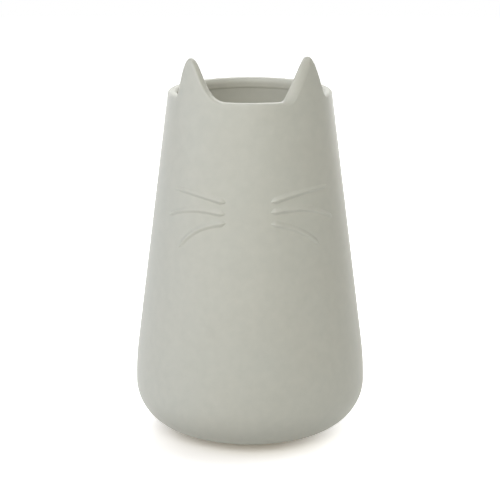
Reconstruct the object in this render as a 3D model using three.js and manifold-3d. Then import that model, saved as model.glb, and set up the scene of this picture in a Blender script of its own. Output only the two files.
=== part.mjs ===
// Cat planter: a tapered ceramic pot with two cat ears on its rim and raised whiskers on its wall.
// Millimetres, +Z up. The origin is the middle of the foot, on the surface that the pot stands on.
// The face looks along -Y, and "left" is the viewer's left, at -X.
import * as THREE from 'three';
import { mergeVertices } from 'three/addons/utils/BufferGeometryUtils.js';
import Module from 'manifold-3d';

// Outside of the pot
const RIM_HEIGHT = 214;
const MOUTH_RADIUS = 50;
const BELLY_RADIUS = 72;
const BELLY_HEIGHT = 30; // where the pot is widest
const SIDE_RADIUS = 195; // the arc that turns the straight side into the belly
const BASE_RADIUS = 42; // where the round bottom corner meets the flat base

// Inside of the pot
const WALL = 5;
const FLOOR_THICKNESS = 7;
const LIP_WIDTH = 6;
const LIP_HEIGHT = 6; // the bead that stands proud inside the mouth
const LIP_ROUND = 2.2;
const LIP_UNDERCUT = 1; // slope under the bead, back to the wall

// Foot ring
const FOOT_HEIGHT = 1.5;
const FOOT_WIDTH = 6;
const FOOT_INSET = 1; // from the edge of the flat base
const FOOT_CHAMFER = 0.5;

// Ears. Lengths along the rim are measured from the line through the ear's tip.
const EAR_ANGLE = 49.6; // degrees from the middle of the face to the tip
const EAR_TIP_RADIUS = 2.7; // of the outline, seen from the ear's broad side
const EAR_TIP_WIDTH = 4; // between its two faces; at the rim an ear is as thick as the lip
const EAR_INNER_SLOPE = 0.67; // how far the edge on the face's side leans out for each millimetre down
const EAR_INNER_FILLET = { along: 4, up: 8 }; // how far the fillet runs along the rim, and up the edge
const EAR_OUTER_FILLET = { along: 5, up: 6 };
// The ears are shaped by hand, so each has its own height above the rim and its own outer edge
const EARS = {
  ear_left: { side: -1, height: 23.8, outerSlope: 0 },
  ear_right: { side: 1, height: 24.8, outerSlope: 0.3 },
};
const EAR_ROOT = 4; // depth of the notch in the rim that holds the ear
const JOINT_GAP = 0.3; // clearance round an ear's root in its notch, and under a whisker

// Whiskers. Each line has an inner end, a bend and an outer end, as [distance along the wall from the
// middle of the face, distance below the rim].
const WHISKER_LINES = {
  left_upper: [[-14.8, 57.5], [-31.4, 53.2], [-48.5, 53.5]],
  left_middle: [[-15.1, 64.3], [-35.8, 60.1], [-54.9, 69]],
  left_lower: [[-14.5, 69.8], [-33.3, 71.4], [-45, 85.8]],
  right_upper: [[14.3, 57], [34.1, 50.7], [54.5, 52.5]],
  right_middle: [[14.2, 63.2], [36.8, 58.9], [57.4, 70.2]],
  right_lower: [[14.3, 70.1], [30.9, 72.2], [43.9, 83.3]],
};
const WHISKER_WIDTH = 2.8;
const WHISKER_THICKNESS = 0.6;
const WHISKER_TAPER = 0.55; // the share of its width that a whisker loses by its outer end
const WHISKER_BLUNT = 0.1; // the share of its width that is left at the very ends

// How finely round shapes are divided
const AROUND = 72;
const CORNER_STEPS = 10;
const SIDE_STEPS = 4;
const LIP_STEPS = 4;
const EAR_STEPS = 28;
const WHISKER_STEPS = 22;
const WHISKER_ROUND_STEPS = 6;

// Above the side arc the wall is a cone, which touches the arc and ends at the rim. TAPER is its angle.
const ARC_CENTRE = BELLY_RADIUS - SIDE_RADIUS;
const RIM_FROM_CENTRE = new THREE.Vector2(MOUTH_RADIUS - ARC_CENTRE, RIM_HEIGHT - BELLY_HEIGHT);
const TAPER = RIM_FROM_CENTRE.angle() - Math.acos(SIDE_RADIUS / RIM_FROM_CENTRE.length());
const ARC_TOP = BELLY_HEIGHT + SIDE_RADIUS * Math.sin(TAPER);
const LIP_MIDDLE = MOUTH_RADIUS - LIP_WIDTH / 2;
const LIP_CORNER = Math.min(LIP_ROUND, 0.45 * LIP_WIDTH);

function coneRadius(z) {
  return MOUTH_RADIUS + (RIM_HEIGHT - z) * Math.tan(TAPER);
}

function wallRadius(z) {
  if (z > ARC_TOP) return coneRadius(z);
  return ARC_CENTRE + Math.sqrt(SIDE_RADIUS ** 2 - (z - BELLY_HEIGHT) ** 2);
}

// A point at a height, on a circle round the pot's axis. Angles start at the middle of the face.
function onCircle(radius, angle, z) {
  return new THREE.Vector3(radius * Math.sin(angle), -radius * Math.cos(angle), z);
}

// The wall's curve from the flat base to the foot of the cone, as [radius, height]. The inner face is
// the same curve, drawn in by the wall's thickness and ending on the floor.
function wallCurve(inset, floor) {
  const points = [];
  for (let i = 0; i <= CORNER_STEPS; i++) {
    const turn = (i / CORNER_STEPS) * Math.PI / 2;
    const radius = BASE_RADIUS + (BELLY_RADIUS - inset - BASE_RADIUS) * Math.sin(turn);
    points.push(new THREE.Vector2(radius, BELLY_HEIGHT - (BELLY_HEIGHT - floor) * Math.cos(turn)));
  }
  for (let i = 1; i <= SIDE_STEPS; i++) {
    const z = BELLY_HEIGHT + SIDE_RADIUS * Math.sin((i / SIDE_STEPS) * TAPER);
    points.push(new THREE.Vector2(wallRadius(z) - inset, z));
  }
  return points;
}

// The rounded top of the lip, from its outer face to its inner face, as [radius, height]. Over the
// height of the drop the two faces draw in by the corner.
function lipTop(top, drop = LIP_CORNER, corner = LIP_CORNER, width = () => LIP_WIDTH) {
  const outside = [];
  const inside = [];
  for (let i = 0; i <= LIP_STEPS; i++) {
    const turn = (i / LIP_STEPS) * Math.PI / 2;
    const z = top - drop * (1 - Math.sin(turn));
    const drawn = corner * (1 - Math.cos(turn));
    outside.push(new THREE.Vector2(coneRadius(z) - drawn, z));
    inside.unshift(new THREE.Vector2(coneRadius(z) - width(z) + drawn, z));
  }
  return [...outside, ...inside];
}

// Turns a profile of [radius, height] about the pot's axis
function turned(profile) {
  const geometry = new THREE.LatheGeometry(profile, AROUND);
  geometry.rotateX(Math.PI / 2);
  geometry.deleteAttribute('normal');
  geometry.deleteAttribute('uv');
  return mergeVertices(geometry, 1e-4);
}

// Joins a row of closed rings, all with the same number of points, into one closed body
function loft(rings) {
  const count = rings[0].length;
  const last = rings.length - 1;
  const faces = [];
  for (let ring = 0; ring < last; ring++) {
    for (let i = 0; i < count; i++) {
      const a = ring * count + i;
      const b = ring * count + (i + 1) % count;
      faces.push(a, b, b + count, a, b + count, a + count);
    }
  }
  for (let i = 1; i < count - 1; i++) {
    faces.push(0, i + 1, i);
    faces.push(last * count, last * count + i, last * count + i + 1);
  }
  const positions = rings.flat().flatMap((point) => point.toArray());
  const geometry = new THREE.BufferGeometry();
  geometry.setAttribute('position', new THREE.Float32BufferAttribute(positions, 3));
  geometry.setIndex(faces);
  return geometry;
}

// The whole pot, turned in one profile: under the base, up the outside, over the lip and down inside
function potShell() {
  const underBead = RIM_HEIGHT - LIP_HEIGHT;
  const wallTop = underBead - LIP_UNDERCUT;
  const floor = FOOT_HEIGHT + FLOOR_THICKNESS;
  return turned([
    new THREE.Vector2(0, FOOT_HEIGHT),
    ...wallCurve(0, FOOT_HEIGHT),
    ...lipTop(RIM_HEIGHT),
    new THREE.Vector2(coneRadius(underBead) - LIP_WIDTH, underBead),
    new THREE.Vector2(coneRadius(wallTop) - WALL, wallTop),
    ...wallCurve(WALL, floor).reverse(),
    new THREE.Vector2(0, floor),
  ]);
}

// The foot lies flat against the base
function footRing() {
  const outer = BASE_RADIUS - FOOT_INSET;
  const inner = outer - FOOT_WIDTH;
  return turned([
    new THREE.Vector2(inner, FOOT_CHAMFER),
    new THREE.Vector2(inner + FOOT_CHAMFER, 0),
    new THREE.Vector2(outer - FOOT_CHAMFER, 0),
    new THREE.Vector2(outer, FOOT_CHAMFER),
    new THREE.Vector2(outer, FOOT_HEIGHT),
    new THREE.Vector2(inner, FOOT_HEIGHT),
    new THREE.Vector2(inner, FOOT_CHAMFER),
  ]);
}

// One edge of an ear, from the end of its fillet on the rim to the tip, as [distance from the tip's
// line, height above the rim]. The edge is a hyperbola: round at the tip, and then as straight as its
// slope. The fillet is a parabola, which touches the rim.
function earEdge(height, slope, fillet) {
  const points = [];
  for (let i = 0; i <= EAR_STEPS; i++) {
    const up = height * Math.sin((i / EAR_STEPS) * Math.PI / 2) ** 2;
    const down = height - up;
    const edge = Math.sqrt(2 * EAR_TIP_RADIUS * down + (slope * down) ** 2);
    const flare = fillet.along * (1 - Math.sqrt(Math.min(up / fillet.up, 1))) ** 2;
    points.push(new THREE.Vector2(edge + flare, up));
  }
  return points;
}

function earOutline({ height, outerSlope }) {
  const inner = earEdge(height, EAR_INNER_SLOPE, EAR_INNER_FILLET);
  const outer = earEdge(height, outerSlope, EAR_OUTER_FILLET).reverse();
  return [...inner.map(({ x, y }) => new THREE.Vector2(-x, y)), ...outer.slice(1)];
}

function earAngle(side, along) {
  return side * (THREE.MathUtils.degToRad(EAR_ANGLE) + along / LIP_MIDDLE);
}

// An ear is a row of upright slices of the lip, each as tall as the ear's outline is there and drawn
// in over a longer drop where the outline is steep. Its root stands in the notch. Its outer face carries
// on the pot's wall, and its inner face leans out a little, because the ear is thinner at the tip.
function ear(settings) {
  const outline = earOutline(settings);
  const foot = RIM_HEIGHT - EAR_ROOT + JOINT_GAP;
  const tip = RIM_HEIGHT + settings.height;
  const width = (z) => THREE.MathUtils.mapLinear(z, foot, tip, LIP_WIDTH, EAR_TIP_WIDTH);
  const slices = outline.map((point, i) => {
    const before = outline[Math.max(i - 1, 0)];
    const after = outline[Math.min(i + 1, outline.length - 1)];
    const slope = (after.y - before.y) / (after.x - before.x);
    const top = RIM_HEIGHT + point.y;
    const corner = Math.min(LIP_ROUND, 0.45 * width(top));
    const drop = Math.min(corner * Math.hypot(1, slope), corner + point.y);
    const slice = [
      new THREE.Vector2(coneRadius(foot), foot),
      ...lipTop(top, drop, corner, width),
      new THREE.Vector2(coneRadius(foot) - LIP_WIDTH, foot),
    ];
    return slice.map(({ x, y }) => onCircle(x, earAngle(settings.side, point.x), y));
  });
  return loft(settings.side < 0 ? slices : slices.reverse());
}

// What is cut out of the rim for an ear: right through the lip, and longer than the root by the
// clearance at each end
function earNotch(settings) {
  const outline = earOutline(settings);
  const start = outline[0].x - JOINT_GAP;
  const end = outline[outline.length - 1].x + JOINT_GAP;
  const foot = RIM_HEIGHT - EAR_ROOT;
  const top = RIM_HEIGHT + LIP_WIDTH;
  const outer = coneRadius(foot) + LIP_WIDTH;
  const inner = coneRadius(foot) - 2 * LIP_WIDTH;
  const slices = [];
  for (let i = 0; i <= EAR_STEPS; i++) {
    const angle = earAngle(settings.side, THREE.MathUtils.lerp(start, end, i / EAR_STEPS));
    const corners = [[outer, foot], [outer, top], [inner, top], [inner, foot]];
    slices.push(corners.map(([radius, z]) => onCircle(radius, angle, z)));
  }
  return loft(settings.side < 0 ? slices : slices.reverse());
}

// A whisker's size along its line, as a share of its full width: round at both ends, and thinner
// towards the outer end
function whiskerSize(share, length) {
  const round = WHISKER_WIDTH / 2;
  const fromEnd = Math.min(share * length, (1 - share) * length, round) / round;
  const rounded = Math.sqrt(1 - (1 - fromEnd) ** 2);
  return Math.max(rounded, WHISKER_BLUNT) * (1 - WHISKER_TAPER * share);
}

// A whisker is a strip of clay with a flat back and a round front, laid along a bent line on the wall
function whisker(line) {
  const corners = line.map(([along, below]) => new THREE.Vector2(along, RIM_HEIGHT - below));
  const curve = new THREE.QuadraticBezierCurve(...corners);
  const length = curve.getLength();
  const slices = [];
  for (let i = 0; i <= WHISKER_STEPS; i++) {
    const share = (1 - Math.cos((i / WHISKER_STEPS) * Math.PI)) / 2;
    const size = whiskerSize(share, length);
    const middle = curve.getPoint(share);
    const tangent = curve.getTangent(share);
    const slice = [];
    for (let j = 0; j <= WHISKER_ROUND_STEPS; j++) {
      const turn = (j / WHISKER_ROUND_STEPS) * Math.PI;
      const across = size * (WHISKER_WIDTH / 2) * Math.cos(turn);
      const lift = JOINT_GAP + size * WHISKER_THICKNESS * Math.sin(turn);
      const along = middle.x - across * tangent.y;
      const z = middle.y + across * tangent.x;
      slice.push(onCircle(wallRadius(z) + lift, along / wallRadius(z), z));
    }
    slices.push(slice);
  }
  return loft(slices);
}

const wasm = await Module();
wasm.setup();

function toSolid(geometry) {
  const vertProperties = new Float32Array(geometry.attributes.position.array);
  const triVerts = new Uint32Array(geometry.index.array);
  return new wasm.Manifold(new wasm.Mesh({ numProp: 3, vertProperties, triVerts }));
}

function toGeometry(solid) {
  const mesh = solid.getMesh();
  const geometry = new THREE.BufferGeometry();
  geometry.setAttribute('position', new THREE.BufferAttribute(mesh.vertProperties, 3));
  geometry.setIndex(new THREE.BufferAttribute(mesh.triVerts, 1));
  return geometry;
}

function potBody() {
  const notches = Object.values(EARS).map((settings) => toSolid(earNotch(settings)));
  const cut = notches.reduce((pot, notch) => pot.subtract(notch), toSolid(potShell()));
  return toGeometry(cut);
}

const sageGlaze = new THREE.MeshStandardMaterial({ color: 0xb9bbae, roughness: 0.55, metalness: 0 });
const bareClay = new THREE.MeshStandardMaterial({ color: 0xd2c9b8, roughness: 0.9, metalness: 0 });

const planter = new THREE.Group();

function addPiece(name, geometry, material) {
  const mesh = new THREE.Mesh(geometry, material.clone());
  mesh.name = name;
  planter.add(mesh);
}

addPiece('pot_body', potBody(), sageGlaze);
addPiece('foot_ring', footRing(), bareClay);
for (const [name, settings] of Object.entries(EARS)) addPiece(name, ear(settings), sageGlaze);
for (const [place, line] of Object.entries(WHISKER_LINES)) {
  addPiece(`whisker_${place}`, whisker(line), sageGlaze);
}

export default planter;
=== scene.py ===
# %% [markdown]
# # A cat planter, turned, luted and glazed
#
# The pot is one fired piece of stoneware: a straight tapered wall on a round belly, a round mouth, two
# cat ears that grow out of its lip, and three raised whiskers on each cheek. A matte sage glaze covers
# all of it but the foot.
#
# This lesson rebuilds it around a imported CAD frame. Every surface is a formula worked out with numpy on
# a grid, so that each piece is smooth from any side, and each piece stands where its CAD node stands.

# %% Load the frame
import math

import bpy
import numpy as np
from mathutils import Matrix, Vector


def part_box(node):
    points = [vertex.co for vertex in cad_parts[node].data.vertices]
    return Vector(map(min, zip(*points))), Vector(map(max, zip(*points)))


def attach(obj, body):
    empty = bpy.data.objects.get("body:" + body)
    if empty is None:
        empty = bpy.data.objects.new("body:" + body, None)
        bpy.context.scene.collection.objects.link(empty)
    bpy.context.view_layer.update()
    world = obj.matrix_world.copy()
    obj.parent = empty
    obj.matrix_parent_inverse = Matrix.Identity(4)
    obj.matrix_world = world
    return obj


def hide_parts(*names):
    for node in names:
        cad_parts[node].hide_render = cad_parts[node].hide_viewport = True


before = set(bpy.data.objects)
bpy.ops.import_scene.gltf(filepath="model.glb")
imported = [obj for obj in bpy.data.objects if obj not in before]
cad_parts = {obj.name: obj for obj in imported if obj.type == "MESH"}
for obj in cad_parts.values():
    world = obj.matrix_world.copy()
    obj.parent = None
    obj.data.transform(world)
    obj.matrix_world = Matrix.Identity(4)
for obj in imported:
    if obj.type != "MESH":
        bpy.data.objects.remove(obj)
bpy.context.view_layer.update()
print("CAD nodes:", ", ".join(sorted(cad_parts)))

# %% [markdown]
# ## The sizes that shape the pot
#
# Where a size is the reach of a CAD node it is read from the frame. The others are the pot's own
# driving sizes. Shapes are worked out in millimetres and become metres when they are put in a mesh.

# %% Sizes read from the frame
MM = 0.001

pot_low, pot_high = (np.array(corner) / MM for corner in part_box("pot_body"))
ear_tops = {name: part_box(name)[1][2] / MM for name in ("ear_right", "ear_left")}
ring_high = np.array(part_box("foot_ring")[1]) / MM

BASE_HEIGHT = pot_low[2]
RIM_HEIGHT = pot_high[2]
BELLY_RADIUS = (pot_high[0] - pot_low[0]) / 2
EAR_HEIGHTS = {name: top - RIM_HEIGHT for name, top in ear_tops.items()}
SEAM_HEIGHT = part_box("ear_right")[0][2] / MM
RING_OUTSIDE = ring_high[0]
print(f"rim at {RIM_HEIGHT:.1f} mm, belly radius {BELLY_RADIUS:.1f} mm")
print("ears above the rim:", {name: round(float(height), 1) for name, height in EAR_HEIGHTS.items()})

# %% The pot's own sizes
MOUTH_RADIUS = 50
BELLY_HEIGHT = 30
SIDE_RADIUS = 195
BASE_RADIUS = 42
WALL = 5
FLOOR_HEIGHT = 8.5

LIP_WIDTH = 6
LIP_ROUND = 1.6
LIP_MIDDLE = MOUTH_RADIUS - LIP_WIDTH / 2
LIP_INNER_ROUND = {"down": 3.6, "across": 2.4}
EAR_INNER_ROUND = 2.8
BEAD_HEIGHT = 6.2
CREASE_DROP = 2.0
CREASE_WIDTH = 5.55

EAR_ANGLE = math.radians(49.6)
EAR_TIP_RADIUS = 2.7
EAR_TIP_WIDTH = 4
EAR_THINNING = 1.4
EAR_INNER_EDGES = {
    "ear_right": {"spread": 0.39, "flare_along": 1.8, "flare_up": 5},
    "ear_left": {"spread": 0.31, "flare_along": 9.5, "flare_up": 13},
}
EAR_OUTER_EDGES = {
    "ear_right": {"spread": 0.04, "flare_along": 3, "flare_up": 6},
    "ear_left": {"spread": -0.1, "flare_along": 2.6, "flare_up": 7},
}
LIP_CORNERS = {"down": LIP_ROUND, "across": LIP_ROUND, "bevel": 0, "inner": EAR_INNER_ROUND}
EAR_CORNERS = {
    "ear_right": {"down": 4.9, "across": 3.4, "bevel": 0.75, "inner": 2.2},
    "ear_left": {"down": 1, "across": 1, "bevel": 0, "inner": 1.4},
}

RING_WIDTH = 6
RING_ROUND = 0.6

# %% [markdown]
# ## The wall's curve
#
# A thrown wall is easiest to describe by its section. From the belly an arc of 195 mm leans in until it
# is as steep as the taper, and from there a cone runs straight up to the mouth. The cone touches the
# arc, so the taper follows from the belly, the mouth and the arc's radius, and isn't a size of its own.

# %% Radius of the outside at any height
ARC_CENTRE = BELLY_RADIUS - SIDE_RADIUS
RIM_REACH = math.hypot(MOUTH_RADIUS - ARC_CENTRE, RIM_HEIGHT - BELLY_HEIGHT)
RIM_TURN = math.atan2(RIM_HEIGHT - BELLY_HEIGHT, MOUTH_RADIUS - ARC_CENTRE)
TAPER = RIM_TURN - math.acos(SIDE_RADIUS / RIM_REACH)
ARC_TOP = BELLY_HEIGHT + SIDE_RADIUS * math.sin(TAPER)


def cone_radius(height):
    """The mouth's radius, and more by the tangent of the taper for each millimetre below the rim."""
    return MOUTH_RADIUS + (RIM_HEIGHT - height) * math.tan(TAPER)


def wall_radius(height):
    """The cone above the arc's top; below it the circle round (ARC_CENTRE, BELLY_HEIGHT)."""
    arc = ARC_CENTRE + np.sqrt(np.maximum(SIDE_RADIUS**2 - (height - BELLY_HEIGHT) ** 2, 0))
    return np.where(height > ARC_TOP, cone_radius(height), arc)


def corner_curve(inset, floor, steps):
    """A quarter of an ellipse, from the flat floor out and up to the belly: (radii, heights)."""
    turn = np.linspace(0, math.pi / 2, steps + 1)
    radius = BASE_RADIUS + (BELLY_RADIUS - inset - BASE_RADIUS) * np.sin(turn)
    return radius, BELLY_HEIGHT - (BELLY_HEIGHT - floor) * np.cos(turn)


print(f"taper {math.degrees(TAPER):.2f} degrees, cone from {ARC_TOP:.1f} mm up")

# %% [markdown]
# ## The top edge, with its two ears
#
# Unrolled flat, the top edge of the lip is a level line with two hills. Each hill is an ear. Its edges
# are conic curves, round at the tip and then nearly straight, and a fillet at the foot of each runs out
# into the rim. The ears are shaped by hand, so the right one is a little taller and wider than the left
# one, and the right one's inner edge is shaved to a bevel while the left one's is left square.
# Steep edges need as many columns of the grid as level ones, so the edge is measured along its own
# length and divided evenly.

# %% One ear's outline
OUTLINE_SAMPLES = 2000


def ear_edge(height, spread, flare_along, flare_up):
    """One edge of an ear from the rim to the tip, as distances from the tip's line and heights.

    With d the distance below the tip, the edge is sqrt(2 * EAR_TIP_RADIUS * d + spread * d ** 2), and
    the fillet adds flare_along * (1 - sqrt(h / flare_up)) ** 2 while the height h is below flare_up.
    """
    turn = np.linspace(0, math.pi / 2, OUTLINE_SAMPLES)
    up = height * np.sin(turn) ** 2
    down = height - up
    flare = flare_along * (1 - np.minimum(np.sqrt(up / flare_up), 1)) ** 2
    return np.sqrt(2 * EAR_TIP_RADIUS * down + spread * down**2) + flare, up


def ear_outline(name, steps):
    """The edge at even spacing, inner foot to outer foot, and its unit normal into the clay.

    At both feet the normal is set straight down, to meet the level rim.
    """
    inner_along, inner_up = ear_edge(EAR_HEIGHTS[name], **EAR_INNER_EDGES[name])
    outer_along, outer_up = ear_edge(EAR_HEIGHTS[name], **EAR_OUTER_EDGES[name])
    along = np.concatenate((-inner_along, outer_along[-2::-1]))
    up = np.concatenate((inner_up, outer_up[-2::-1]))
    length = np.concatenate(([0], np.cumsum(np.hypot(np.diff(along), np.diff(up)))))
    even = np.linspace(0, length[-1], steps + 1)
    run = np.interp(even, length, np.gradient(along, length))
    rise = np.interp(even, length, np.gradient(up, length))
    rise[[0, -1]] = 0
    size = np.hypot(run, rise)
    return np.interp(even, length, along), np.interp(even, length, up), rise / size, -run / size


# %% The columns of the grid, all the way round
# Angles start at the middle of the face and go towards +X. Each column has its angle on the top edge,
# its height there, the edge's normal into the clay, its angle at the seam under the ears, the height
# of the ear that it belongs to, and the four values of LIP_CORNERS: the outer corner's two sizes, how
# far it is a bevel, and the round of an ear's inner corner.
EAR_COLUMNS = 92
EAR_STEEP = 1.45
FRONT_COLUMNS = 38
BACK_COLUMNS = 176


def level_part(start, end, count):
    """Columns of a level stretch of the rim, without its last one.

    Its normal points straight down, and its ear height of 1 is there only to divide by.
    """
    angle = np.linspace(start, end, count, endpoint=False)
    level = np.zeros(count)
    corners = [level + size for size in LIP_CORNERS.values()]
    return np.array([angle, level, level, level - 1, angle, level + 1, *corners])


def ear_part(name, side):
    """Columns of an ear. The left ear's columns are mirrored, and run on past half a turn.

    Where the ear's inner edge is steep, its corners go over from LIP_CORNERS to EAR_CORNERS, by
    EAR_STEEP times the square of the normal's level part, and by all of it at most.
    """
    along, up, normal_along, normal_up = ear_outline(name, EAR_COLUMNS)
    seam = np.linspace(along[0], along[-1], EAR_COLUMNS + 1)
    edge_angle, seam_angle = (side * (EAR_ANGLE + place / LIP_MIDDLE) for place in (along, seam))
    ear_height = np.full(EAR_COLUMNS + 1, EAR_HEIGHTS[name])
    steep = np.clip(EAR_STEEP * np.maximum(normal_along, 0) ** 2, 0, 1)
    corners = [size + steep * (EAR_CORNERS[name][key] - size) for key, size in LIP_CORNERS.items()]
    part = np.array([edge_angle, up, side * normal_along, normal_up, seam_angle, ear_height, *corners])
    if side < 0:
        part = part[:, ::-1]
        part[[0, 4]] += 2 * math.pi
    return part


right_ear = ear_part("ear_right", 1)
left_ear = ear_part("ear_left", -1)
columns = np.concatenate((
    level_part(left_ear[0, -1] - 2 * math.pi, right_ear[0, 0], FRONT_COLUMNS),
    right_ear[:, :-1],
    level_part(right_ear[0, -1], left_ear[0, 0], BACK_COLUMNS),
    left_ear[:, :-1],
), axis=1)
edge_angle, edge_rise, normal_along, normal_up, seam_angle, ear_height = columns[:6]
corner_down, corner_across, bevel, inner_round = columns[6:]
COLUMNS = len(edge_angle)
EAR_SPANS = {
    "ear_right": FRONT_COLUMNS,
    "ear_left": FRONT_COLUMNS + EAR_COLUMNS + BACK_COLUMNS,
}
ear_feet = np.degrees(right_ear[0, [0, -1]])
print(f"{COLUMNS} columns, the right ear from {ear_feet[0]:.1f} to {ear_feet[1]:.1f} degrees")

# %% [markdown]
# ## The rows of the grid, from under the base to the floor inside
#
# Most rows are level circles. The rows of the lip aren't: they run at even distances from the top edge,
# measured square to it, so that the edge is as round on the steep sides of the ears as it is on the rim.
# Up an ear the lip thins from 6 mm to 4 mm. The row between the two kinds of rows is the seam where an
# ear is luted on.

# %% Level rows
BASE_ROWS = 7
CORNER_ROWS = 26
SIDE_ROWS = 52
CREASE_ROWS = 10
INSIDE_ROWS = 38
INNER_CORNER_ROWS = 22


def outside_rows():
    """(radii, heights) from next to the base's middle, up the outside, to the seam."""
    base = np.linspace(0, BASE_RADIUS, BASE_ROWS + 1)[1:-1]
    corner, corner_height = corner_curve(0, BASE_HEIGHT, CORNER_ROWS)
    side_height = np.linspace(BELLY_HEIGHT, SEAM_HEIGHT, SIDE_ROWS + 1)[1:]
    radius = np.concatenate((base, corner, wall_radius(side_height)))
    height = np.concatenate((np.full(len(base), BASE_HEIGHT), corner_height, side_height))
    return radius, height


def inside_rows():
    """(radii, heights) from under the seam, round the bead, down the inside, to the floor's middle.

    Under the bead a raised cosine eases the lip's width back to CREASE_WIDTH over CREASE_DROP. From
    there the wall thins evenly to its full WALL at the belly.
    """
    bead_foot = RIM_HEIGHT - BEAD_HEIGHT + CREASE_DROP / 2
    ease = np.linspace(0, 1, CREASE_ROWS + 1)
    crease_inset = CREASE_WIDTH + (LIP_WIDTH - CREASE_WIDTH) * (1 + np.cos(math.pi * ease)) / 2
    crease_height = bead_foot - CREASE_DROP * ease
    wall_height = np.linspace(crease_height[-1], BELLY_HEIGHT, INSIDE_ROWS + 1)[1:]
    wall_inset = np.linspace(CREASE_WIDTH, WALL, INSIDE_ROWS + 1)[1:]
    inset = np.concatenate((crease_inset, wall_inset))
    height = np.concatenate((crease_height, wall_height))
    corner, corner_height = corner_curve(WALL, FLOOR_HEIGHT, INNER_CORNER_ROWS)
    floor = np.linspace(BASE_RADIUS, 0, BASE_ROWS + 1)[1:-1]
    radius = np.concatenate((wall_radius(height) - inset, corner[-2::-1], floor))
    height = np.concatenate((height, corner_height[-2::-1], np.full(len(floor), FLOOR_HEIGHT)))
    return radius, height


outside_radius, outside_height = outside_rows()
inside_radius, inside_height = inside_rows()

# %% Rows of the lip and the ears
FACE_ROWS = 14
ROUND_ROWS = 12
TOP_ROWS = 3
INNER_ROUND_REACH = 5
BEVEL_POWER = 1.25
OUTER_CORNER_SHARE = 0.6
BOTH_CORNERS_SHARE = 0.96


def on_circle(angle, radius, height):
    """Points at a radius and a height, at an angle from the middle of the face."""
    parts = np.broadcast_arrays(radius * np.sin(angle), -radius * np.cos(angle), height)
    return np.stack(parts, axis=-1).astype(float)


def lip_width(height):
    """LIP_WIDTH on the rim, and less by a power curve up an ear, to EAR_TIP_WIDTH at its tip."""
    share = np.clip((height - RIM_HEIGHT) / ear_height, 0, 1)
    return LIP_WIDTH - (LIP_WIDTH - EAR_TIP_WIDTH) * share**EAR_THINNING


def lip_face(down, across, bevel):
    """Rows from above the seam, up one face of the lip, and round its corner to the top.

    The corner is a quarter ellipse, or with a bevel of 1 the power curve of BEVEL_POWER. Between the
    seam and its start the rows go evenly from one to the other. Returns angles, heights, distances from
    the face, and depths below the top edge.
    """
    turn = np.linspace(0, math.pi / 2, ROUND_ROWS)[:, None]
    depth = down * (1 - np.sin(turn))
    drawn_in = across * ((1 - bevel) * (1 - np.cos(turn)) + bevel * np.sin(turn) ** BEVEL_POWER)
    angle = edge_angle + depth * normal_along / LIP_MIDDLE
    height = RIM_HEIGHT + edge_rise + depth * normal_up
    share = np.linspace(0, 1, FACE_ROWS, endpoint=False)[1:, None]
    low_angle = seam_angle + share * (angle[0] - seam_angle)
    low_height = SEAM_HEIGHT + share * (height[0] - SEAM_HEIGHT)
    low_depth = down + (1 - share) * (height[0] - SEAM_HEIGHT)
    parts = (low_angle, angle), (low_height, height), (0 * low_depth, drawn_in), (low_depth, depth)
    return [np.concatenate(part) for part in parts]


def lip_rows():
    """Points from above the outer seam, over the top, to the inner seam, and their depths.

    The inner corner is an ellipse on the rim, and is round on an ear. The outer corner takes up
    OUTER_CORNER_SHARE of the lip's width at most, and the two together BOTH_CORNERS_SHARE of an ear's.
    A distance in from the outside of the cone is an inset.
    """
    width = lip_width(RIM_HEIGHT + edge_rise)
    outer_across = np.minimum(corner_across, OUTER_CORNER_SHARE * width)
    ear_corner = np.minimum(inner_round, BOTH_CORNERS_SHARE * width - outer_across)
    on_rim = np.clip(1 - edge_rise / INNER_ROUND_REACH, 0, 1)
    down, across = (ear_corner + on_rim * (LIP_INNER_ROUND[size] - ear_corner)
                    for size in ("down", "across"))
    outer = lip_face(corner_down, outer_across, bevel)
    inner = [part[::-1] for part in lip_face(down, across, 0)]
    over = np.linspace(0, 1, TOP_ROWS + 1)[1:-1, None]
    level = np.ones((len(over), 1))
    edge_height = outer[1][-1]
    top_inset = outer_across + over * (lip_width(edge_height) - outer_across - across)
    seam_row = np.full((1, COLUMNS), SEAM_HEIGHT)
    angle = np.concatenate((outer[0], level * outer[0][-1], inner[0], seam_angle[None]))
    height = np.concatenate((outer[1], level * edge_height, inner[1], seam_row))
    inner_inset = lip_width(inner[1]) - inner[2]
    inset = np.concatenate((outer[2], top_inset, inner_inset, 0 * seam_row + LIP_WIDTH))
    depth = np.concatenate((outer[3], 0 * top_inset, inner[3], RIM_HEIGHT - seam_row))
    return on_circle(angle, cone_radius(height) - inset, height), depth


def level_circles(radius, height):
    return on_circle(seam_angle, radius[:, None], height[:, None])


lip_points, lip_depth = lip_rows()
shell = np.concatenate((
    level_circles(outside_radius, outside_height),
    lip_points,
    level_circles(inside_radius, inside_height),
))
SEAM_OUT = len(outside_radius) - 1
SEAM_IN = SEAM_OUT + len(lip_points)
print(f"shell grid of {shell.shape[0]} rows, seam rows {SEAM_OUT} and {SEAM_IN}")

# %% Where the glaze runs thin, and painted light inside the mouth
# It thins by EDGE_THIN at the top edge, as the bell curve exp(-(depth / EDGE_REACH) ** 2) of the distance
# from that edge. Inside the mouth, where the bead and the wall lie in shade, light is painted: the colour
# is lightened on the bead by up to BEAD_PAINTED_LIGHT, most at the bead's foot, and below the bead by
# INSIDE_PAINTED_LIGHT.
EDGE_THIN = 0.12
EDGE_REACH = 2.4
BEAD_PAINTED_LIGHT = 0.5
INSIDE_PAINTED_LIGHT = 0.25

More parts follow.
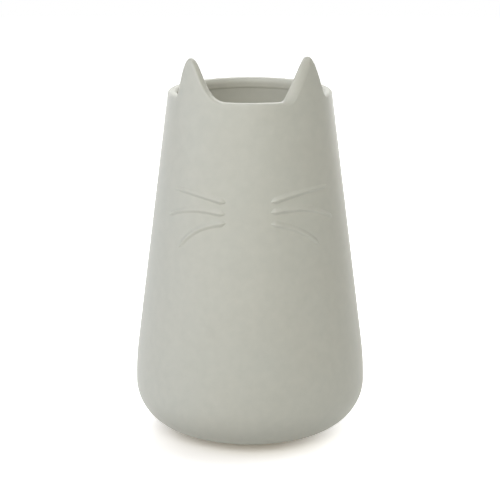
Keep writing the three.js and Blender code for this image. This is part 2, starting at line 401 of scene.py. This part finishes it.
thin_edges_and_painted_inside_light = np.zeros(shell.shape[:2])
thin_edges_and_painted_inside_light[SEAM_OUT + 1:SEAM_IN + 1] = EDGE_THIN * np.exp(-(lip_depth / EDGE_REACH) ** 2)
INSIDE = SEAM_OUT + 1 + len(lip_points) // 2
below_rim = RIM_HEIGHT - shell[INSIDE:, :, 2]
bead_depths = (0, BEAD_HEIGHT - 1, BEAD_HEIGHT + 1)
# painted light: the bead and the wall below it are lightened where they lie in shade inside the mouth
thin_edges_and_painted_inside_light[INSIDE:] += np.interp(below_rim, bead_depths, (0, BEAD_PAINTED_LIGHT, INSIDE_PAINTED_LIGHT))

# %% [markdown]
# ## Normals before the cut
#
# The real ears have no seam, so none may show here. The normals are worked out on the whole shell and
# given to the cut pieces, so that light runs over a joint as if the clay were still in one piece.

# %% Normals of the whole shell


def unit(vectors):
    return vectors / np.maximum(np.linalg.norm(vectors, axis=-1, keepdims=True), 1e-12)


def grid_normals(grid, closed):
    """At each point, the step to the next column crossed with the step to the next row."""
    if closed:
        across = np.roll(grid, -1, axis=1) - np.roll(grid, 1, axis=1)
    else:
        across = np.gradient(grid, axis=1)
    steps = np.diff(grid, axis=0)
    weight = 1 / np.maximum(np.linalg.norm(steps, axis=-1, keepdims=True), 1e-9)
    # a short step says more about the direction at a point than a long one does
    along = np.concatenate((steps[:1], steps[:-1] * weight[:-1] ** 2 + steps[1:] * weight[1:] ** 2,
                            steps[-1:]))
    return unit(np.cross(across, along))


shell_normals = grid_normals(shell, closed=True)

# %% Put points and faces in a mesh


def make_mesh(name, points, smooth_faces, normals, flat_faces=(), thinness_and_painted_light=None):
    """A mesh object from points in millimetres and arrays of faces, one row of corners to a face.

    Corners of the smooth faces take the normals given for their points. Flat faces keep their own.
    The last argument says how much paler the glaze is at each point: on the lip's edges it runs thin, and
    elsewhere light is painted, lighter in the mouth and along the whiskers' crests and, below 0, darker as
    painted shade at the whiskers' feet. It is 0 for the usual coat and 1 at most.
    """
    groups = [*smooth_faces, *flat_faces]
    corners = np.concatenate([group.ravel() for group in groups])
    sizes = np.concatenate([np.full(len(group), group.shape[1]) for group in groups])
    is_smooth = np.arange(len(sizes)) < sum(len(group) for group in smooth_faces)
    used, corners = np.unique(corners, return_inverse=True)
    corners = corners.ravel()
    mesh = bpy.data.meshes.new(name)
    mesh.vertices.add(len(used))
    mesh.vertices.foreach_set("co", (points[used] * MM).ravel())
    mesh.loops.add(len(corners))
    mesh.loops.foreach_set("vertex_index", corners)
    mesh.polygons.add(len(sizes))
    mesh.polygons.foreach_set("loop_start", np.concatenate(([0], np.cumsum(sizes)[:-1])))
    mesh.polygons.foreach_set("use_smooth", is_smooth)
    if thinness_and_painted_light is not None:
        mesh.attributes.new("glaze_break_and_painted_light", "FLOAT", "POINT").data.foreach_set("value", thinness_and_painted_light[used])
    mesh.update(calc_edges=True)
    corner_normals = np.where(np.repeat(is_smooth, sizes)[:, None], normals[used][corners], 0)
    mesh.normals_split_custom_set(corner_normals.tolist())
    piece = bpy.data.objects.new(name, mesh)
    bpy.context.scene.collection.objects.link(piece)
    return piece


def grid_faces(number, rows, columns):
    """Faces between neighbouring rows and columns of a grid of point numbers that closes on itself.

    A face looks where a step to the next column crossed with a step to the next row points.
    """
    row, column = np.meshgrid(rows, columns, indexing="ij")
    next_row = (row + 1) % number.shape[0]
    next_column = (column + 1) % number.shape[1]
    corners = (number[row, column], number[row, next_column],
               number[next_row, next_column], number[next_row, column])
    return np.stack(corners, axis=-1).reshape(-1, 4)


# %% Cut the shell into the pot and its ears
points = np.concatenate((shell.reshape(-1, 3), [[0, 0, BASE_HEIGHT], [0, 0, FLOOR_HEIGHT]]))
point_normals = np.concatenate((shell_normals.reshape(-1, 3), [[0, 0, -1], [0, 0, 1]]))
glaze_break_and_painted_light = np.concatenate((thin_edges_and_painted_inside_light.ravel(), [0, 0]))
base_middle = len(points) - 2
floor_middle = len(points) - 1
number = np.arange(shell.shape[0] * COLUMNS).reshape(-1, COLUMNS)


def joint_faces(first):
    """The three flat faces between the rim and an ear, looking into the ear's root.

    The floor joins the outer seam to the inner one. Each side is a section of the lip, filled by
    joining its outer half to its inner half.
    """
    seams = np.array([number[SEAM_OUT], number[SEAM_IN]])
    floor = grid_faces(seams, [0], np.arange(first, first + EAR_COLUMNS))
    outer = np.arange(SEAM_OUT, (SEAM_OUT + SEAM_IN + 1) // 2)
    inner = SEAM_OUT + SEAM_IN - outer
    sides = []
    for column in (first, (first + EAR_COLUMNS) % COLUMNS):
        corners = (number[outer[:-1], column], number[inner[:-1], column],
                   number[inner[1:], column], number[outer[1:], column])
        sides.append(np.stack(corners, axis=-1))
    return [floor, sides[0], sides[1][:, ::-1]]


ear_pieces = {}
joints = []
lip_span = np.arange(SEAM_OUT, SEAM_IN)
level_columns = np.arange(COLUMNS)
for name, first in EAR_SPANS.items():
    span = np.arange(first, first + EAR_COLUMNS)
    own_joints = joint_faces(first)
    ear_pieces[name] = make_mesh(f"{name}_glazed", points, [grid_faces(number, lip_span, span % COLUMNS)],
                                 point_normals, [faces[:, ::-1] for faces in own_joints], glaze_break_and_painted_light)
    joints += own_joints
    level_columns = np.setdiff1d(level_columns, span)

around = np.arange(COLUMNS)
after = (around + 1) % COLUMNS
pot_faces = [
    grid_faces(number, np.arange(SEAM_OUT), around),
    grid_faces(number, lip_span, level_columns),
    grid_faces(number, np.arange(SEAM_IN, len(shell) - 1), around),
]
middle_faces = [
    np.stack((np.full(COLUMNS, base_middle), number[0, after], number[0, around]), axis=-1),
    np.stack((number[-1, around], number[-1, after], np.full(COLUMNS, floor_middle)), axis=-1),
]
pot = make_mesh("pot_body_glazed", points, pot_faces + middle_faces, point_normals, joints, glaze_break_and_painted_light)
print(f"pot of {len(pot.data.polygons)} faces, each ear of {len(ear_pieces['ear_left'].data.polygons)}")

# %% [markdown]
# ## The foot ring
#
# The pot stands on a turned ring of bare clay, under the base and out of sight from the front. It is a
# closed profile carried once round the axis, with its edges softened by a potter's sponge.

# %% Turn the foot ring
RING_EDGE_ROWS = 6
RING_COLUMNS = 240


def ring_profile():
    """(radii, heights) of the ring's section, from its top inner edge down, out and up again.

    The two lower corners are quarter circles of RING_ROUND. The top is flat against the base.
    """
    inside = RING_OUTSIDE - RING_WIDTH
    turn = np.linspace(0, math.pi / 2, RING_EDGE_ROWS)
    inner_radius = inside + RING_ROUND * (1 - np.cos(turn))
    outer_radius = RING_OUTSIDE - RING_ROUND * (1 - np.cos(turn[::-1]))
    low = RING_ROUND * (1 - np.sin(turn))
    radius = np.concatenate(([inside], inner_radius, outer_radius, [RING_OUTSIDE]))
    height = np.concatenate(([BASE_HEIGHT], low, low[::-1], [BASE_HEIGHT]))
    return radius, height


ring_radius, ring_height = ring_profile()
ring_angle = np.linspace(0, 2 * math.pi, RING_COLUMNS, endpoint=False)
ring_grid = on_circle(ring_angle, ring_radius[:, None], ring_height[:, None])
ring_rows = len(ring_radius)
ring_number = np.arange(ring_rows * RING_COLUMNS).reshape(ring_rows, RING_COLUMNS)
ring_sides = grid_faces(ring_number, np.arange(ring_rows - 1), np.arange(RING_COLUMNS))
ring_top = grid_faces(ring_number, [ring_rows - 1], np.arange(RING_COLUMNS))
ring_normals = grid_normals(ring_grid, closed=True).reshape(-1, 3)
foot_ring = make_mesh("foot_ring_clay", ring_grid.reshape(-1, 3), [ring_sides], ring_normals, [ring_top])
print(f"foot ring {2 * RING_OUTSIDE:.0f} mm across, {RING_WIDTH} mm wide")

# %% [markdown]
# ## The whiskers
#
# Each whisker is a soft ridge: a roll of clay laid along a bent line on the wall and smoothed down until
# its flanks run out into the wall. The line is a quadratic curve from a first corner to a last one,
# drawn towards a middle one. Each corner is the distance along the wall from the middle of the face and
# the distance below the rim. The corners were worked out by other scripts, from points read off the
# photograph, and the ends were changed since. A bump in the glaze alone would vanish in side views, so
# the ridge is a surface with a back of its own inside the wall.

# %% Whisker lines and sizes
WHISKER_LINES = {
    "left_upper": [(-13.6, 57.8), (-31.4, 53.0), (-52.5, 53.0)],
    "left_middle": [(-13.8, 64.6), (-35.8, 60.1), (-56.5, 70.2)],
    "left_lower": [(-13.6, 69.8), (-33.3, 71.4), (-46.5, 88.0)],
    "right_upper": [(12.8, 57.5), (34.1, 50.7), (55.5, 52.6)],
    "right_middle": [(12.7, 63.5), (36.8, 58.9), (59.5, 72.0)],
    "right_lower": [(12.8, 70.0), (30.9, 72.2), (46.3, 85.7)],
}
WHISKER_WIDTH = 5.2
WHISKER_CREST = 1.3
WHISKER_TAPER = 0.35
WHISKER_END = 4.0
WHISKER_LEAST = 0.01
WHISKER_PAINTED_HIGHLIGHT = 0.12
WHISKER_PAINTED_SHADE_UNDER = 0.15
WHISKER_PAINTED_SHADE_ABOVE = 0.36
WHISKER_SINK = 0.006
WHISKER_BACK = 0.5
WHISKER_STEPS = 90
WHISKER_ACROSS = 20
LINE_SAMPLES = 200

# %% Lay one whisker on the wall


def bent_line(corners, share):
    """The quadratic curve of three corners, as (along, up), and its unit direction."""
    first, bend, last = (np.array([along, RIM_HEIGHT - below]) for along, below in corners)
    share = share[:, None]
    place = (1 - share) ** 2 * first + 2 * share * (1 - share) * bend + share**2 * last
    return place, unit((1 - share) * (bend - first) + share * (last - bend))


def whisker_size(share, length):
    """Runs out over WHISKER_END at both ends as a sine, and thins evenly towards the outer end.

    It keeps WHISKER_LEAST of its size at the very ends, so that no face there shrinks to a point.
    """
    from_end = np.minimum(np.minimum(share, 1 - share) * length / WHISKER_END, 1)
    runout = np.maximum(np.sin(math.pi / 2 * from_end), WHISKER_LEAST)
    return runout * (1 - WHISKER_TAPER * share)


def whisker(place_name, corners):
    """A ridge whose height across is a raised cosine, closed by a back inside the wall.

    A painted highlight of WHISKER_PAINTED_HIGHLIGHT lies along the crest. Painted shade of
    WHISKER_PAINTED_SHADE_UNDER lies under a ridge, less where that is steep, and of
    WHISKER_PAINTED_SHADE_ABOVE above a ridge that falls away outwards, more where that is steep.
    """
    coarse, _ = bent_line(corners, np.linspace(0, 1, LINE_SAMPLES))
    length = np.linalg.norm(np.diff(coarse, axis=0), axis=1).sum()
    share = (1 - np.cos(np.linspace(0, math.pi, WHISKER_STEPS + 1))) / 2
    place, direction = bent_line(corners, share)
    size = whisker_size(share, length)[:, None]
    across = np.linspace(-1, 1, WHISKER_ACROSS + 1)
    hump = size * (1 + np.cos(math.pi * across)) / 2
    offset = size * (WHISKER_WIDTH / 2) * across
    height = place[:, 1:] - offset * direction[:, :1]
    angle = (place[:, :1] + offset * direction[:, 1:]) / wall_radius(height)
    front = on_circle(angle, wall_radius(height) + WHISKER_CREST * hump - WHISKER_SINK, height)
    back = on_circle(angle, wall_radius(height) - WHISKER_BACK, height)[:, ::-1]
    grid = np.concatenate((front, back), axis=1)
    rows, columns = grid.shape[:2]
    grid_number = np.arange(rows * columns).reshape(rows, columns)
    front_columns = np.arange(WHISKER_ACROSS)
    back_columns = np.arange(WHISKER_ACROSS, columns)
    normals = np.concatenate((grid_normals(front, closed=False), np.zeros_like(back)), axis=1)
    under = across * np.sign(direction[:, :1])
    fall = np.maximum(-direction[:, 1:], 0)
    # painted shade under and above each ridge, and a painted highlight on its crest, stand in for how
    # light falls across it
    shade_under = WHISKER_PAINTED_SHADE_UNDER * np.abs(direction[:, :1]) ** 3 * np.sin(math.pi * np.clip(under, 0, 1))
    shade_above = WHISKER_PAINTED_SHADE_ABOVE * fall * np.sin(math.pi * np.clip(-under, 0, 1))
    thinness_and_painted_light = WHISKER_PAINTED_HIGHLIGHT * hump - size * (shade_under + shade_above)
    thinness_and_painted_light = np.concatenate((thinness_and_painted_light, np.zeros_like(thinness_and_painted_light)), axis=1)
    return make_mesh(
        f"whisker_{place_name}_glazed", grid.reshape(-1, 3),
        [grid_faces(grid_number, np.arange(rows - 1), front_columns)], normals.reshape(-1, 3),
        [grid_faces(grid_number, np.arange(rows - 1), back_columns),
         grid_number[:1], grid_number[-1:, ::-1]],
        thinness_and_painted_light.ravel())


whiskers = {f"whisker_{name}": whisker(name, corners) for name, corners in WHISKER_LINES.items()}
print(f"{len(whiskers)} whiskers, {WHISKER_CREST} mm proud of the wall")

# %% [markdown]
# ## Writing materials as sums
#
# A procedural finish is arithmetic on textures. Wired by hand, a line such as clouds * 0.4 + 0.3 takes
# two nodes and three links. The two small classes below let the same line be written as it reads.

# %% Values and recipes


class Value:
    """A number that a node gives. Arithmetic on it adds Math nodes to the same recipe."""

    def __init__(self, recipe, socket):
        self.recipe = recipe
        self.socket = socket

    def math(self, operation, *values):
        return self.recipe.add("ShaderNodeMath", {"operation": operation}, dict(enumerate(values)))

    def __add__(self, other):
        return self.math("ADD", self, other)

    def __sub__(self, other):
        return self.math("SUBTRACT", self, other)

    def __mul__(self, other):
        return self.math("MULTIPLY", self, other)

    __radd__ = __add__


class Recipe:
    """The nodes of one material, or of the world."""

    def __init__(self, owner):
        owner.use_nodes = True
        self.nodes = owner.node_tree.nodes
        self.links = owner.node_tree.links
        self.nodes.clear()

    def add(self, kind, settings=None, sockets=None, output=0):
        """Adds a node, sets it up, then gives its sockets numbers, colours or other nodes' values."""
        node = self.nodes.new(kind)
        for name, setting in (settings or {}).items():
            setattr(node, name, setting)
        for name, given in (sockets or {}).items():
            if isinstance(given, Value):
                self.links.new(given.socket, node.inputs[name])
            else:
                node.inputs[name].default_value = given
        return Value(self, node.outputs[output]) if node.outputs else None

    def mix(self, factor, first, second):
        """A colour between two colours."""
        colour, factor_at, first_at, second_at, result = {"data_type": "RGBA"}, 0, 6, 7, 2
        return self.add("ShaderNodeMix", colour, {factor_at: factor, first_at: first, second_at: second},
                        result)

    def noise(self, place, size, detail=2.0):
        """Noise from 0 to 1 whose blobs are about that many millimetres across."""
        sockets = {"Vector": place, "Scale": 1 / (size * MM), "Detail": detail}
        return self.add("ShaderNodeTexNoise", {}, sockets)


def paint(red, green, blue):
    """A colour given as it looks on a screen, from 0 to 255, as the light that Blender works in."""
    screen = np.array([red, green, blue]) / 255
    light = np.where(screen > 0.04045, ((screen + 0.055) / 1.055) ** 2.4, screen / 12.92)
    return (*(float(part) for part in light), 1.0)


# %% [markdown]
# ## Sage glaze
#
# A matte stoneware glaze is never one flat colour. It thins to a warmer, paler tone on the lip's edges,
# and has a fine eggshell skin that breaks up highlights. The base is a soft sage, and two cloud patterns
# vary it by a few per cent. A value at each point lightens the lip's edges where the glaze runs thin, and
# carries painted light too: it lightens the bead and the inside of the mouth where they lie in shade,
# paints a highlight along the whiskers' crests, and paints shade under and above them. The usual coat
# already lies COAT_THIN of the way to the pale tone, and the mottle moves that by up to half of
# MOTTLE_THIN either way.

# %% Mix the glaze
SAGE = paint(183, 183, 171)
SAGE_COOL = paint(179, 182, 172)
SAGE_PALE = paint(212, 210, 198)
COAT_THIN = 0.2
MOTTLE_THIN = 0.35
GLAZE_ROUGHNESS = 0.55
MOTTLE_ROUGHNESS = 0.12
SKIN_DEPTH = 0.05


def sage_glaze():
    material = bpy.data.materials.new("sage_glaze")
    recipe = Recipe(material)
    place = recipe.add("ShaderNodeTexCoord", output="Object")
    thinness_and_painted_light = recipe.add("ShaderNodeAttribute", {"attribute_name": "glaze_break_and_painted_light"}, output="Fac")
    clouds = recipe.noise(place, size=38, detail=3.0)
    mottle = recipe.noise(place, size=6, detail=3.0)
    skin = recipe.noise(place, size=1.1)
    grain = recipe.noise(place, size=0.28)
    body = recipe.mix(clouds, SAGE, SAGE_COOL)
    # the paler mix carries the lip's glaze break, the painted light in the mouth, and the painted
    # highlight and shade on the whiskers
    colour = recipe.mix(thinness_and_painted_light + (mottle - 0.5) * MOTTLE_THIN + COAT_THIN, body, SAGE_PALE)
    bump = recipe.add("ShaderNodeBump", {}, {
        "Strength": 0.35, "Distance": SKIN_DEPTH * MM, "Height": skin * 0.8 + grain * 0.2,
    })
    shader = recipe.add("ShaderNodeBsdfPrincipled", {}, {
        "Base Color": colour, "Roughness": GLAZE_ROUGHNESS + (mottle - 0.5) * MOTTLE_ROUGHNESS,
        "IOR": 1.5, "Normal": bump,
    })
    recipe.add("ShaderNodeOutputMaterial", {}, {"Surface": shader})
    return material


# %% [markdown]
# ## Bare clay
#
# The ring that touches the kiln shelf can't be glazed. Fired stoneware is dry and rough, the colour of
# pale sand, with fine dark grog showing through.

# %% Fire the bare clay
CLAY = paint(206, 196, 178)
CLAY_DARK = paint(178, 164, 142)
CLAY_ROUGHNESS = 0.85
GROG_DEPTH = 0.12


def bare_clay():
    material = bpy.data.materials.new("bare_clay")
    recipe = Recipe(material)
    place = recipe.add("ShaderNodeTexCoord", output="Object")
    clouds = recipe.noise(place, size=9, detail=4.0)
    grog = recipe.noise(place, size=0.7)
    colour = recipe.mix(clouds * 0.6 + grog * 0.3, CLAY, CLAY_DARK)
    bump = recipe.add("ShaderNodeBump", {}, {
        "Strength": 0.6, "Distance": GROG_DEPTH * MM, "Height": grog,
    })
    shader = recipe.add("ShaderNodeBsdfPrincipled", {}, {
        "Base Color": colour, "Roughness": CLAY_ROUGHNESS + (grog - 0.5) * 0.1, "Normal": bump,
    })
    recipe.add("ShaderNodeOutputMaterial", {}, {"Surface": shader})
    return material


# %% [markdown]
# ## Dress the frame
#
# Each finished piece rides on the part's one body, stands for its CAD node, which is hidden, and wears
# its material.

# %% Give each piece its node and finish
glaze = sage_glaze()
clay = bare_clay()


def dress(piece, node, material):
    piece.data.materials.append(material)
    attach(piece, "root")
    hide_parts(node)


glazed = {"pot_body": pot, **ear_pieces, **whiskers}
for node, piece in glazed.items():
    dress(piece, node, glaze)
dress(foot_ring, "foot_ring", clay)
print(f"{len(glazed) + 1} pieces dressed")

# %% [markdown]
# ## A white studio
#
# The pot stands on white paper, and soft panels all round it give it its light. The camera sees the
# surroundings as pure white, and so do reflections, but they cast no light on the pot.

# %% White surroundings
world = bpy.data.worlds.new("studio")
bpy.context.scene.world = world
recipe = Recipe(world)


def looks_white(recipe):
    """1 for camera, glossy and transmission rays, which are to see white, and 0 for others."""
    rays = [recipe.add("ShaderNodeLightPath", output=f"Is {kind} Ray")
            for kind in ("Camera", "Glossy", "Transmission")]
    return rays[0].math("MAXIMUM", rays[0].math("MAXIMUM", rays[0], rays[1]), rays[2])


backdrop = recipe.add("ShaderNodeBackground", {}, {
    "Color": (1, 1, 1, 1), "Strength": looks_white(recipe),
})
recipe.add("ShaderNodeOutputWorld", {}, {"Surface": backdrop})

# %% White paper floor
# The camera sees the paper burnt out to white, but for a soft oval patch round the pot where a shadow is
# painted into the paper's glow, warm and darkest next to the pot; the shade that the pot really casts on
# the paper shows through it there. In the patch the glow falls off over the distances from the patch's
# middle, in metres, in PATCH_EDGE.
FLOOR_SIZE = 4.0
PAPER = (0.86, 0.86, 0.86, 1)
PAPER_PAINTED_SHADOW = (0.235, 0.21, 0.168, 1)
PAPER_FAR = (1, 1, 1, 1)
PATCH_MIDDLE = (-0.0097, -0.03, 0)
PATCH_WIDER = (1.107, 1, 1)
PATCH_EDGE = (0.0227, 0.0914)

corners = FLOOR_SIZE / 2 * np.array([[-1, -1, 0], [1, -1, 0], [1, 1, 0], [-1, 1, 0]])
paper = bpy.data.meshes.new("paper_floor")
paper.from_pydata(corners.tolist(), [], [(0, 1, 2, 3)])
floor = bpy.data.objects.new("paper_floor", paper)
bpy.context.scene.collection.objects.link(floor)

white_paper = bpy.data.materials.new("white_paper")
recipe = Recipe(white_paper)
place = recipe.add("ShaderNodeTexCoord", output="Object")
across = recipe.add("ShaderNodeMapping", {"vector_type": "TEXTURE"}, {
    "Vector": place, "Location": PATCH_MIDDLE, "Scale": PATCH_WIDER,
})
from_middle = recipe.add("ShaderNodeVectorMath", {"operation": "LENGTH"}, {0: across}, output="Value")
away = recipe.add("ShaderNodeMapRange", {"interpolation_type": "SMOOTHSTEP"}, {
    "Value": from_middle, "From Min": PATCH_EDGE[0], "From Max": PATCH_EDGE[1],
})
# the glow's colour holds the painted shadow next to the pot
glow_with_painted_shadow = recipe.mix(away, PAPER_PAINTED_SHADOW, PAPER_FAR)
diffuse = recipe.add("ShaderNodeBsdfDiffuse", {}, {"Color": PAPER})
glow = recipe.add("ShaderNodeEmission", {}, {"Color": glow_with_painted_shadow, "Strength": looks_white(recipe)})
both = recipe.add("ShaderNodeAddShader", {}, {0: diffuse, 1: glow})
recipe.add("ShaderNodeOutputMaterial", {}, {"Surface": both})
floor.data.materials.append(white_paper)

# %% Soft panels
# Each panel has its direction from the pot as (azimuth, elevation), azimuth 0 being the camera's side
# and 90 the viewer's right, then its distance and width in metres, its power in watts and its colour.
# The powers were solved for by another script, from the photograph's shading, and four changed since.
PLAIN = (1, 1, 1)
WARM = (1, 0.97, 0.89)
COOL = (0.86, 0.88, 1)
PANELS = {
    "front_panel": ((0, 35), 1.4, 0.9, 6.6, WARM),
    "near_left_panel": ((-15, 35), 1.4, 0.9, 4.7, PLAIN),
    "window_panel": ((-35, 55), 1.2, 0.9, 3.1, COOL),
    "left_panel": ((-80, 20), 1.2, 0.9, 4.0, COOL),
    "right_panel": ((100, 25), 1.2, 0.9, 2.3, WARM),
    "back_panel": ((180, 45), 1.2, 0.9, 8.7, PLAIN),
    "left_edge_panel": ((-150, 8), 1.2, 0.5, 2.0, PLAIN),
    "right_edge_panel": ((150, 8), 1.2, 0.5, 3.6, PLAIN),
}


def aim(thing, place, target):
    """Puts a lamp or a camera at a place, looking at a target."""
    away = Vector(place) - Vector(target)
    thing.location = place
    thing.rotation_euler = away.to_track_quat("Z", "Y").to_euler()


def direction(azimuth, elevation):
    """A unit vector from the pot. Azimuth 0 is -Y, the side that the face is on."""
    turn, tilt = math.radians(azimuth), math.radians(elevation)
    return Vector((math.sin(turn) * math.cos(tilt), -math.cos(turn) * math.cos(tilt), math.sin(tilt)))


pot_middle = Vector((0, 0, RIM_HEIGHT / 2 * MM))
for name, (towards, distance, width, power, colour) in PANELS.items():
    light = bpy.data.lights.new(name, "AREA")
    light.size = width
    light.energy = power
    light.color = colour
    lamp = bpy.data.objects.new(name, light)
    lamp.visible_camera = False
    bpy.context.scene.collection.objects.link(lamp)
    aim(lamp, pot_middle + distance * direction(*towards), pot_middle)
print("panels:", ", ".join(PANELS))

# %% [markdown]
# ## The camera
#
# A long lens from a little more than a metre away, slightly above the mouth, as product photographs are
# taken: the wall stays nearly straight and the mouth opens to a slim ellipse.

# %% Set up the camera
CAMERA_ANGLES = (0.71, 14.61)
CAMERA_DISTANCE = 1.08
CAMERA_PIVOT = Vector((0, 0, 0.120))
CAMERA_TARGET = Vector((0, 0, 0.11276))
LENS = 124.6
SENSOR = 36

camera = bpy.data.objects.new("camera", bpy.data.cameras.new("camera"))
bpy.context.scene.collection.objects.link(camera)
camera.data.lens = LENS
camera.data.sensor_width = SENSOR
aim(camera, CAMERA_PIVOT + CAMERA_DISTANCE * direction(*CAMERA_ANGLES), CAMERA_TARGET)
bpy.context.scene.camera = camera
bpy.context.scene.view_settings.view_transform = "Standard"
